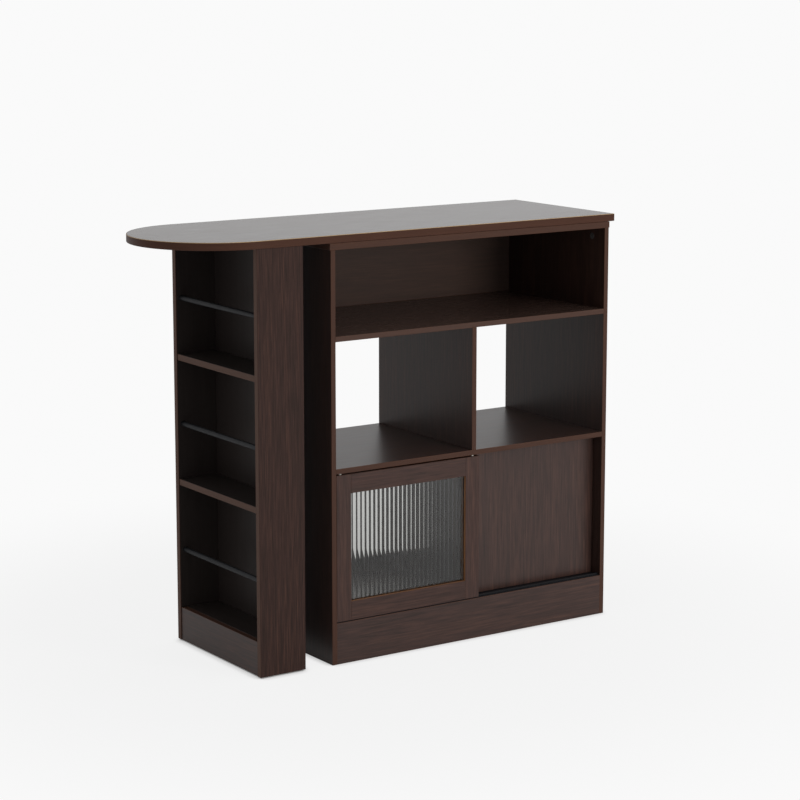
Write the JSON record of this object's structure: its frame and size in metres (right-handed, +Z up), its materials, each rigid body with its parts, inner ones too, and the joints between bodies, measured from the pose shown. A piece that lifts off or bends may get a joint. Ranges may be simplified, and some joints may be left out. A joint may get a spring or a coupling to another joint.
{
  "type": "bar cabinet",
  "caption": "Dark walnut bar cabinet with a round-ended swivelling bar on a bottle rack, open bays and sliding doors, one glazed with fluted glass.",
  "frame": {"origin": "on the floor, under the middle of the bar's length and depth", "axes": "+X along the bar, from the round end to the square end; +Y to the back; +Z up"},
  "size_m": [1.1999, 0.4, 1],
  "materials": {
    "bar_laminate": "dark walnut laminate, satin, straight grain along the bar",
    "cabinet_laminate": "dark walnut laminate, satin, straight grain",
    "door_laminate": "dark walnut laminate, satin, straight grain",
    "rack_laminate": "dark walnut laminate, satin, straight grain",
    "clear_glass": "clear fluted glass",
    "black_metal": "black powder coat, fine grain",
    "zinc_steel": "bright zinc plated steel",
    "track_plastic": "black extruded plastic",
    "guide_plastic": "light grey moulded plastic",
    "bush_nylon": "natural nylon",
    "tyre_rubber": "dark grey soft tyre",
    "cam_cap": "dark moulded plastic"
  },
  "bodies": {
    "cabinet": {"cabinet_top": "cabinet_laminate", "side_panel_left": "cabinet_laminate", "side_panel_right": "cabinet_laminate", "upper_shelf": "cabinet_laminate", "upper_back": "cabinet_laminate", "bay_divider": "cabinet_laminate", "deck": "cabinet_laminate", "plinth_front": "cabinet_laminate", "cabinet_floor": "cabinet_laminate", "plinth_back": "cabinet_laminate", "lower_divider": "cabinet_laminate", "door_track": "track_plastic", "pivot_bush": "bush_nylon", "cam_locks": "cam_cap"},
    "bar": {"bar_top": "bar_laminate", "rack_side_front": "rack_laminate", "rack_side_back": "rack_laminate", "rack_back": "rack_laminate", "rack_shelf_upper": "rack_laminate", "rack_shelf_lower": "rack_laminate", "rack_plinth": "rack_laminate", "rack_base": "rack_laminate", "bottle_rod_upper": "black_metal", "bottle_rod_middle": "black_metal", "bottle_rod_lower": "black_metal", "pivot_plate": "zinc_steel", "pivot_washer": "zinc_steel", "pivot_nut": "zinc_steel", "roller_fork_front": "zinc_steel", "roller_fork_back": "zinc_steel", "roller_axle_front": "zinc_steel", "roller_axle_back": "zinc_steel"},
    "front_door": {"door_stile_left": "door_laminate", "door_stile_right": "door_laminate", "door_rail_top": "door_laminate", "door_rail_bottom": "door_laminate", "glazing_beads": "door_laminate", "fluted_glass": "clear_glass", "front_door_guides": "guide_plastic", "front_door_runners": "guide_plastic"},
    "rear_door": {"rear_door_panel": "door_laminate", "rear_door_guides": "guide_plastic", "rear_door_runners": "guide_plastic"},
    "roller_front": {"roller_wheel_front": "tyre_rubber"},
    "roller_back": {"roller_wheel_back": "tyre_rubber"}
  },
  "joints": [
    {"name": "bar_swivel", "type": "hinge", "parent": "cabinet", "child": "bar", "pos_m": [0.384, 0, 0.982], "axis": [0, 0, 1], "range_deg": [-90, 90]},
    {"name": "front_door_slide", "type": "slide", "parent": "cabinet", "child": "front_door", "axis": [1, 0, 0], "range_m": [0, 0.3705]},
    {"name": "rear_door_slide", "type": "slide", "parent": "cabinet", "child": "rear_door", "axis": [1, 0, 0], "range_m": [-0.3705, 0]},
    {"name": "roller_front_spin", "type": "hinge", "parent": "bar", "child": "roller_front", "pos_m": [-0.347, -0.1295, 0.025], "axis": [0.9847, 0.1744, 0], "continuous": true},
    {"name": "roller_back_spin", "type": "hinge", "parent": "bar", "child": "roller_back", "pos_m": [-0.347, 0.1295, 0.025], "axis": [0.9847, -0.1744, 0], "continuous": true}
  ]
}
